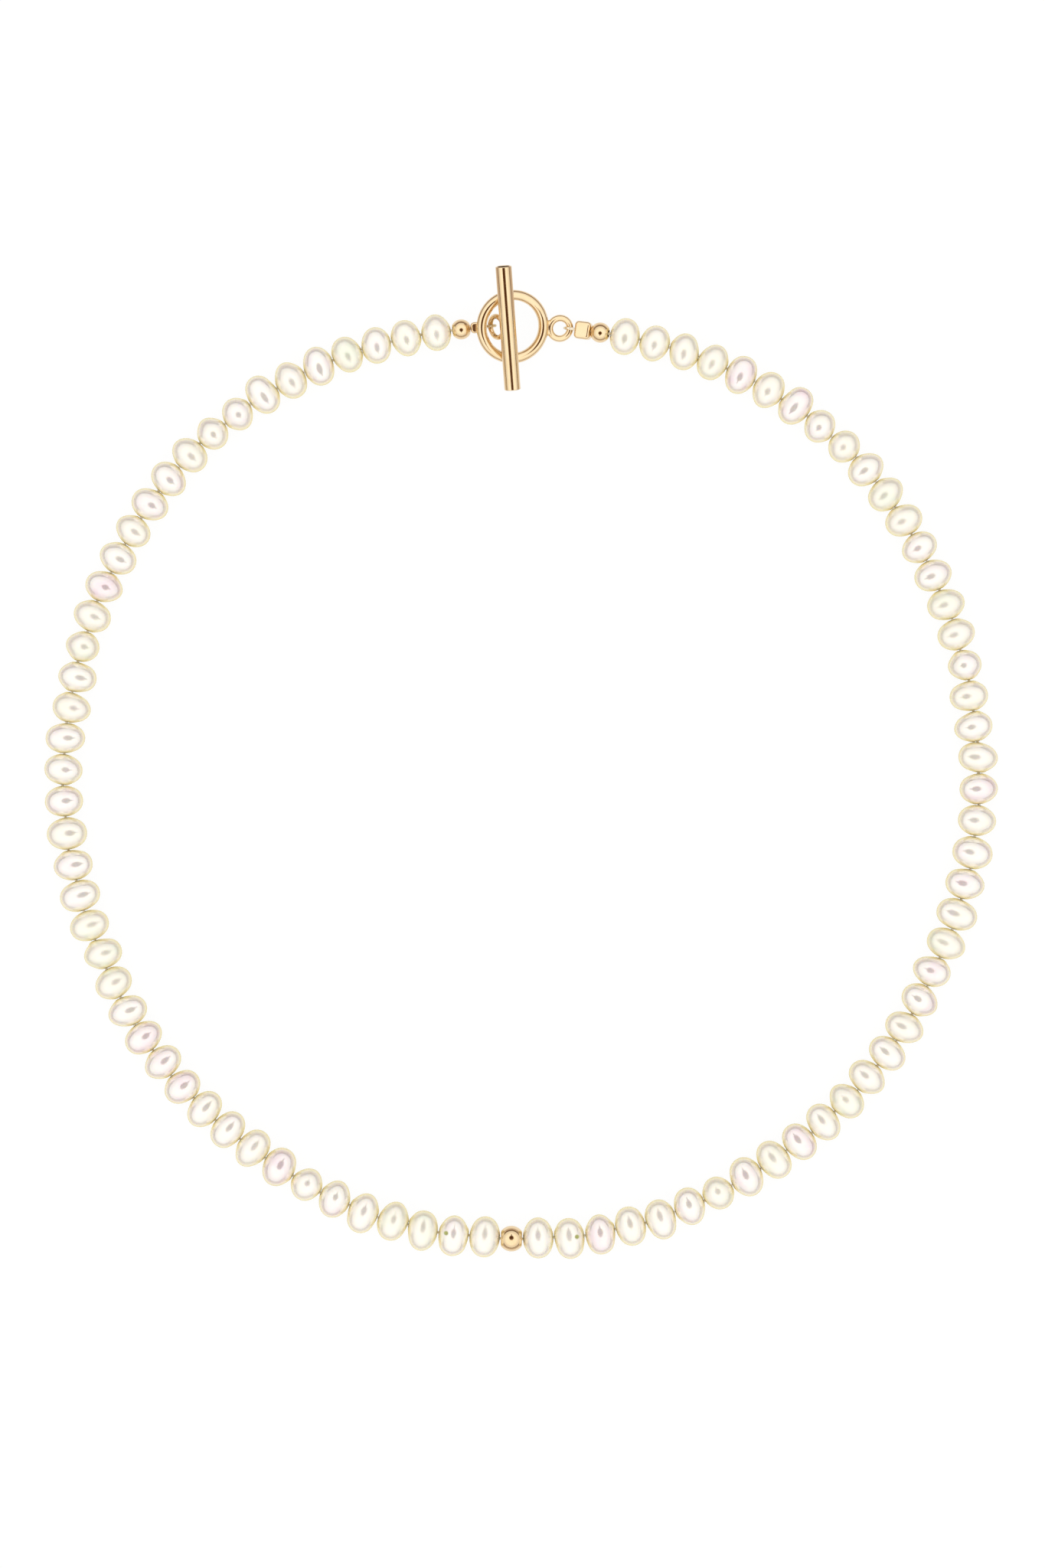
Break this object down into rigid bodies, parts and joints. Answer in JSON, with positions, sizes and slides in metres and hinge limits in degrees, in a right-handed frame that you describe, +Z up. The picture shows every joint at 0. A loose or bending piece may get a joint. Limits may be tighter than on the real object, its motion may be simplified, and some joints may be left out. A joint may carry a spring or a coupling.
{
  "type": "pearl necklace",
  "caption": "Strand of drilled freshwater pearls on beading wire, with a gold front bead and a ring-and-bar toggle clasp, fastened and laid flat in an open loop.",
  "frame": {"origin": "on the table under the middle of the necklace's box", "axes": "+Z up off the table, +Y from the front bead to the clasp, +X to the side of the clasp ring's eye"},
  "size_m": [0.129, 0.134, 0.0078],
  "materials": {
    "pearl": "creamy nacre, soft pink and green overtones, glossy under a satin depth",
    "gold": "polished pale yellow gold-filled metal",
    "wire": "fine coated beading wire, pale gold"
  },
  "bodies": {
    "root": {"wire": "wire"},
    "front_bead": {"front_bead": "gold"},
    "right_pearls_01": {"pearls_right_01": "pearl"},
    "right_pearls_02": {"pearls_right_02": "pearl"},
    "right_pearls_03": {"pearls_right_03": "pearl"},
    "right_pearls_04": {"pearls_right_04": "pearl"},
    "right_pearls_05": {"pearls_right_05": "pearl"},
    "right_pearls_06": {"pearls_right_06": "pearl"},
    "right_pearls_07": {"pearls_right_07": "pearl"},
    "right_pearls_08": {"pearls_right_08": "pearl"},
    "right_pearls_09": {"pearls_right_09": "pearl"},
    "right_pearls_10": {"pearls_right_10": "pearl"},
    "right_pearls_11": {"pearls_right_11": "pearl"},
    "right_pearls_12": {"pearls_right_12": "pearl"},
    "right_pearls_13": {"pearls_right_13": "pearl"},
    "right_pearls_14": {"pearls_right_14": "pearl"},
    "right_pearls_15": {"pearls_right_15": "pearl"},
    "right_pearls_16": {"pearls_right_16": "pearl"},
    "right_pearls_17": {"pearls_right_17": "pearl"},
    "right_pearls_18": {"pearls_right_18": "pearl"},
    "right_pearls_19": {"pearls_right_19": "pearl"},
    "right_pearls_20": {"pearls_right_20": "pearl"},
    "right_pearls_21": {"pearls_right_21": "pearl"},
    "right_pearls_22": {"pearls_right_22": "pearl"},
    "right_wire_end": {"right_crimp_tube": "gold"},
    "right_end_bead": {"right_end_bead": "gold"},
    "left_pearls_01": {"pearls_left_01": "pearl"},
    "left_pearls_02": {"pearls_left_02": "pearl"},
    "left_pearls_03": {"pearls_left_03": "pearl"},
    "left_pearls_04": {"pearls_left_04": "pearl"},
    "left_pearls_05": {"pearls_left_05": "pearl"},
    "left_pearls_06": {"pearls_left_06": "pearl"},
    "left_pearls_07": {"pearls_left_07": "pearl"},
    "left_pearls_08": {"pearls_left_08": "pearl"},
    "left_pearls_09": {"pearls_left_09": "pearl"},
    "left_pearls_10": {"pearls_left_10": "pearl"},
    "left_pearls_11": {"pearls_left_11": "pearl"},
    "left_pearls_12": {"pearls_left_12": "pearl"},
    "left_pearls_13": {"pearls_left_13": "pearl"},
    "left_pearls_14": {"pearls_left_14": "pearl"},
    "left_pearls_15": {"pearls_left_15": "pearl"},
    "left_pearls_16": {"pearls_left_16": "pearl"},
    "left_pearls_17": {"pearls_left_17": "pearl"},
    "left_pearls_18": {"pearls_left_18": "pearl"},
    "left_pearls_19": {"pearls_left_19": "pearl"},
    "left_pearls_20": {"pearls_left_20": "pearl"},
    "left_pearls_21": {"pearls_left_21": "pearl"},
    "left_pearls_22": {"pearls_left_22": "pearl"},
    "left_wire_end": {"left_crimp_tube": "gold"},
    "left_end_bead": {"left_end_bead": "gold"},
    "clasp_ring": {"toggle_ring": "gold", "toggle_ring_eye": "gold"},
    "clasp_bar": {"toggle_bar": "gold", "toggle_bar_eye": "gold"}
  },
  "joints": [
    {"name": "front_bead_spin", "type": "hinge", "parent": "root", "child": "front_bead", "pos_m": [0, -0.06429, 0.00217], "axis": [1, 0, 0], "continuous": true},
    {"name": "right_bend_00", "type": "hinge", "parent": "root", "child": "right_pearls_01", "pos_m": [0.0015, -0.06429, 0.00217], "axis": [0, 0, 1], "range_deg": [-6, 8], "deforming": ["wire"]},
    {"name": "right_bend_01", "type": "hinge", "parent": "right_pearls_01", "child": "right_pearls_02", "pos_m": [0.00992, -0.06365, 0.00217], "axis": [0, 0, 1], "range_deg": [-6, 8], "deforming": ["wire"]},
    {"name": "right_bend_02", "type": "hinge", "parent": "right_pearls_02", "child": "right_pearls_03", "pos_m": [0.0181, -0.06178, 0.00217], "axis": [0, 0, 1], "range_deg": [-6, 8], "deforming": ["wire"]},
    {"name": "right_bend_03", "type": "hinge", "parent": "right_pearls_03", "child": "right_pearls_04", "pos_m": [0.02598, -0.05863, 0.00217], "axis": [0, 0, 1], "range_deg": [-6, 8], "deforming": ["wire"]},
    {"name": "right_bend_04", "type": "hinge", "parent": "right_pearls_04", "child": "right_pearls_05", "pos_m": [0.03353, -0.05411, 0.00217], "axis": [0, 0, 1], "range_deg": [-8, 6]},
    {"name": "right_bend_05", "type": "hinge", "parent": "right_pearls_05", "child": "right_pearls_06", "pos_m": [0.04034, -0.04911, 0.00217], "axis": [0, 0, 1], "range_deg": [-8, 6]},
    {"name": "right_bend_06", "type": "hinge", "parent": "right_pearls_06", "child": "right_pearls_07", "pos_m": [0.04644, -0.04321, 0.00217], "axis": [0, 0, 1], "range_deg": [-8, 6]},
    {"name": "right_bend_07", "type": "hinge", "parent": "right_pearls_07", "child": "right_pearls_08", "pos_m": [0.05153, -0.03648, 0.00217], "axis": [0, 0, 1], "range_deg": [-8, 6]},
    {"name": "right_fold_08", "type": "hinge", "parent": "right_pearls_08", "child": "right_pearls_09", "pos_m": [0.05553, -0.02898, 0.00217], "axis": [1, 0, 0], "range_deg": [0, 15], "deforming": ["wire"]},
    {"name": "right_fold_09", "type": "hinge", "parent": "right_pearls_09", "child": "right_pearls_10", "pos_m": [0.05872, -0.02122, 0.00217], "axis": [1, 0, 0], "range_deg": [0, 15], "deforming": ["wire"]},
    {"name": "right_fold_10", "type": "hinge", "parent": "right_pearls_10", "child": "right_pearls_11", "pos_m": [0.06098, -0.01303, 0.00217], "axis": [1, 0, 0], "range_deg": [0, 15], "deforming": ["wire"]},
    {"name": "right_fold_11", "type": "hinge", "parent": "right_pearls_11", "child": "right_pearls_12", "pos_m": [0.06197, -0.0043, 0.00217], "axis": [1, 0, 0], "range_deg": [0, 15], "deforming": ["wire"]},
    {"name": "right_fold_12", "type": "hinge", "parent": "right_pearls_12", "child": "right_pearls_13", "pos_m": [0.06163, 0.00419, 0.00217], "axis": [1, 0, 0], "range_deg": [0, 15], "deforming": ["wire"]},
    {"name": "right_fold_13", "type": "hinge", "parent": "right_pearls_13", "child": "right_pearls_14", "pos_m": [0.06025, 0.01247, 0.00217], "axis": [1, 0, 0], "range_deg": [0, 15], "deforming": ["wire"]},
    {"name": "right_fold_14", "type": "hinge", "parent": "right_pearls_14", "child": "right_pearls_15", "pos_m": [0.05781, 0.02071, 0.00217], "axis": [1, 0, 0], "range_deg": [0, 15], "deforming": ["wire"]},
    {"name": "right_bend_15", "type": "hinge", "parent": "right_pearls_15", "child": "right_pearls_16", "pos_m": [0.05423, 0.02852, 0.00217], "axis": [0, 0, 1], "range_deg": [-7.46, 5.6]},
    {"name": "right_bend_16", "type": "hinge", "parent": "right_pearls_16", "child": "right_pearls_17", "pos_m": [0.04985, 0.03574, 0.00217], "axis": [0, 0, 1], "range_deg": [-7.5, 5.62]},
    {"name": "right_bend_17", "type": "hinge", "parent": "right_pearls_17", "child": "right_pearls_18", "pos_m": [0.04438, 0.04236, 0.00217], "axis": [0, 0, 1], "range_deg": [-7.61, 5.71]},
    {"name": "right_bend_18", "type": "hinge", "parent": "right_pearls_18", "child": "right_pearls_19", "pos_m": [0.03767, 0.04773, 0.00217], "axis": [0, 0, 1], "range_deg": [-7.69, 5.77]},
    {"name": "right_bend_19", "type": "hinge", "parent": "right_pearls_19", "child": "right_pearls_20", "pos_m": [0.03049, 0.05226, 0.00217], "axis": [0, 0, 1], "range_deg": [-5.6, 7.46]},
    {"name": "right_bend_20", "type": "hinge", "parent": "right_pearls_20", "child": "right_pearls_21", "pos_m": [0.02283, 0.05556, 0.00217], "axis": [0, 0, 1], "range_deg": [-5.62, 7.5]},
    {"name": "right_bend_21", "type": "hinge", "parent": "right_pearls_21", "child": "right_pearls_22", "pos_m": [0.0148, 0.05764, 0.00217], "axis": [0, 0, 1], "range_deg": [-5.71, 7.61]},
    {"name": "right_bend_22", "type": "hinge", "parent": "right_pearls_22", "child": "right_wire_end", "pos_m": [0.01071, 0.05831, 0.00217], "axis": [0, 0, 1], "range_deg": [-5.77, 7.69]},
    {"name": "right_end_bead_spin", "type": "hinge", "parent": "right_wire_end", "child": "right_end_bead", "pos_m": [0.00942, 0.05846, 0.00188], "axis": [-0.9686, 0.1158, -0.22], "continuous": true},
    {"name": "left_bend_00", "type": "hinge", "parent": "root", "child": "left_pearls_01", "pos_m": [-0.0015, -0.06429, 0.00217], "axis": [0, 0, 1], "range_deg": [-8, 6]},
    {"name": "left_bend_01", "type": "hinge", "parent": "left_pearls_01", "child": "left_pearls_02", "pos_m": [-0.00992, -0.06365, 0.00217], "axis": [0, 0, 1], "range_deg": [-8, 6]},
    {"name": "left_bend_02", "type": "hinge", "parent": "left_pearls_02", "child": "left_pearls_03", "pos_m": [-0.0181, -0.06178, 0.00217], "axis": [0, 0, 1], "range_deg": [-8, 6]},
    {"name": "left_bend_03", "type": "hinge", "parent": "left_pearls_03", "child": "left_pearls_04", "pos_m": [-0.02598, -0.05863, 0.00217], "axis": [0, 0, 1], "range_deg": [-8, 6]},
    {"name": "left_bend_04", "type": "hinge", "parent": "left_pearls_04", "child": "left_pearls_05", "pos_m": [-0.03353, -0.05411, 0.00217], "axis": [0, 0, 1], "range_deg": [-6, 8]},
    {"name": "left_bend_05", "type": "hinge", "parent": "left_pearls_05", "child": "left_pearls_06", "pos_m": [-0.04034, -0.04911, 0.00217], "axis": [0, 0, 1], "range_deg": [-6, 8]},
    {"name": "left_bend_06", "type": "hinge", "parent": "left_pearls_06", "child": "left_pearls_07", "pos_m": [-0.04644, -0.04321, 0.00217], "axis": [0, 0, 1], "range_deg": [-6, 8]},
    {"name": "left_bend_07", "type": "hinge", "parent": "left_pearls_07", "child": "left_pearls_08", "pos_m": [-0.05153, -0.03648, 0.00217], "axis": [0, 0, 1], "range_deg": [-6, 8]},
    {"name": "left_fold_08", "type": "hinge", "parent": "left_pearls_08", "child": "left_pearls_09", "pos_m": [-0.05553, -0.02898, 0.00217], "axis": [1, 0, 0], "range_deg": [0, 15]},
    {"name": "left_fold_09", "type": "hinge", "parent": "left_pearls_09", "child": "left_pearls_10", "pos_m": [-0.05872, -0.02122, 0.00217], "axis": [1, 0, 0], "range_deg": [0, 15]},
    {"name": "left_fold_10", "type": "hinge", "parent": "left_pearls_10", "child": "left_pearls_11", "pos_m": [-0.06098, -0.01303, 0.00217], "axis": [1, 0, 0], "range_deg": [0, 15]},
    {"name": "left_fold_11", "type": "hinge", "parent": "left_pearls_11", "child": "left_pearls_12", "pos_m": [-0.06197, -0.0043, 0.00217], "axis": [1, 0, 0], "range_deg": [0, 15]},
    {"name": "left_fold_12", "type": "hinge", "parent": "left_pearls_12", "child": "left_pearls_13", "pos_m": [-0.06163, 0.00419, 0.00217], "axis": [1, 0, 0], "range_deg": [0, 15]},
    {"name": "left_fold_13", "type": "hinge", "parent": "left_pearls_13", "child": "left_pearls_14", "pos_m": [-0.06025, 0.01247, 0.00217], "axis": [1, 0, 0], "range_deg": [0, 15]},
    {"name": "left_fold_14", "type": "hinge", "parent": "left_pearls_14", "child": "left_pearls_15", "pos_m": [-0.05781, 0.02071, 0.00217], "axis": [1, 0, 0], "range_deg": [0, 15]},
    {"name": "left_bend_15", "type": "hinge", "parent": "left_pearls_15", "child": "left_pearls_16", "pos_m": [-0.05423, 0.02852, 0.00217], "axis": [0, 0, 1], "range_deg": [-5.6, 7.46]},
    {"name": "left_bend_16", "type": "hinge", "parent": "left_pearls_16", "child": "left_pearls_17", "pos_m": [-0.04985, 0.03574, 0.00217], "axis": [0, 0, 1], "range_deg": [-5.62, 7.5]},
    {"name": "left_bend_17", "type": "hinge", "parent": "left_pearls_17", "child": "left_pearls_18", "pos_m": [-0.04438, 0.04236, 0.00217], "axis": [0, 0, 1], "range_deg": [-5.71, 7.61]},
    {"name": "left_bend_18", "type": "hinge", "parent": "left_pearls_18", "child": "left_pearls_19", "pos_m": [-0.03767, 0.04773, 0.00217], "axis": [0, 0, 1], "range_deg": [-5.77, 7.69]},
    {"name": "left_bend_19", "type": "hinge", "parent": "left_pearls_19", "child": "left_pearls_20", "pos_m": [-0.03049, 0.05226, 0.00217], "axis": [0, 0, 1], "range_deg": [-7.46, 5.6]},
    {"name": "left_bend_20", "type": "hinge", "parent": "left_pearls_20", "child": "left_pearls_21", "pos_m": [-0.02283, 0.05556, 0.00217], "axis": [0, 0, 1], "range_deg": [-7.5, 5.62]},
    {"name": "left_bend_21", "type": "hinge", "parent": "left_pearls_21", "child": "left_pearls_22", "pos_m": [-0.0148, 0.05764, 0.00217], "axis": [0, 0, 1], "range_deg": [-7.61, 5.71]},
    {"name": "left_bend_22", "type": "hinge", "parent": "left_pearls_22", "child": "left_wire_end", "pos_m": [-0.01071, 0.05831, 0.00217], "axis": [0, 0, 1], "range_deg": [-7.69, 5.77]},
    {"name": "left_end_bead_spin", "type": "hinge", "parent": "left_wire_end", "child": "left_end_bead", "pos_m": [-0.00939, 0.05848, 0.00212], "axis": [0.9903, 0.1329, -0.0417], "continuous": true},
    {"name": "clasp_ring_swing", "type": "hinge", "parent": "right_wire_end", "child": "clasp_ring", "pos_m": [0.00531, 0.05895, 0.00095], "axis": [0.2382, -0.1736, 0.9556], "range_deg": [-4, 4]},
    {"name": "clasp_bar_swing", "type": "hinge", "parent": "left_wire_end", "child": "clasp_bar", "pos_m": [-0.00543, 0.05901, 0.00195], "axis": [0.2382, -0.1736, 0.9556], "range_deg": [-12, 12]}
  ],
  "couplings": [
    {"joint": "right_bend_04", "follows": "right_bend_00", "ratio": -1},
    {"joint": "right_bend_05", "follows": "right_bend_01", "ratio": -1},
    {"joint": "right_bend_06", "follows": "right_bend_02", "ratio": -1},
    {"joint": "right_bend_07", "follows": "right_bend_03", "ratio": -1},
    {"joint": "right_bend_15", "follows": "right_bend_03", "ratio": -0.9328},
    {"joint": "right_bend_16", "follows": "right_bend_02", "ratio": -0.937},
    {"joint": "right_bend_17", "follows": "right_bend_01", "ratio": -0.9512},
    {"joint": "right_bend_18", "follows": "right_bend_00", "ratio": -0.9618},
    {"joint": "right_bend_19", "follows": "right_bend_03", "ratio": 0.9328},
    {"joint": "right_bend_20", "follows": "right_bend_02", "ratio": 0.937},
    {"joint": "right_bend_21", "follows": "right_bend_01", "ratio": 0.9512},
    {"joint": "right_bend_22", "follows": "right_bend_00", "ratio": 0.9618},
    {"joint": "left_bend_00", "follows": "right_bend_00", "ratio": -1},
    {"joint": "left_bend_01", "follows": "right_bend_01", "ratio": -1},
    {"joint": "left_bend_02", "follows": "right_bend_02", "ratio": -1},
    {"joint": "left_bend_03", "follows": "right_bend_03", "ratio": -1},
    {"joint": "left_bend_04", "follows": "right_bend_00", "ratio": 1},
    {"joint": "left_bend_05", "follows": "right_bend_01", "ratio": 1},
    {"joint": "left_bend_06", "follows": "right_bend_02", "ratio": 1},
    {"joint": "left_bend_07", "follows": "right_bend_03", "ratio": 1},
    {"joint": "left_fold_08", "follows": "right_fold_08", "ratio": 1},
    {"joint": "left_fold_09", "follows": "right_fold_09", "ratio": 1},
    {"joint": "left_fold_10", "follows": "right_fold_10", "ratio": 1},
    {"joint": "left_fold_11", "follows": "right_fold_11", "ratio": 1},
    {"joint": "left_fold_12", "follows": "right_fold_12", "ratio": 1},
    {"joint": "left_fold_13", "follows": "right_fold_13", "ratio": 1},
    {"joint": "left_fold_14", "follows": "right_fold_14", "ratio": 1},
    {"joint": "left_bend_15", "follows": "right_bend_03", "ratio": 0.9328},
    {"joint": "left_bend_16", "follows": "right_bend_02", "ratio": 0.937},
    {"joint": "left_bend_17", "follows": "right_bend_01", "ratio": 0.9512},
    {"joint": "left_bend_18", "follows": "right_bend_00", "ratio": 0.9618},
    {"joint": "left_bend_19", "follows": "right_bend_03", "ratio": -0.9328},
    {"joint": "left_bend_20", "follows": "right_bend_02", "ratio": -0.937},
    {"joint": "left_bend_21", "follows": "right_bend_01", "ratio": -0.9512},
    {"joint": "left_bend_22", "follows": "right_bend_00", "ratio": -0.9618}
  ]
}
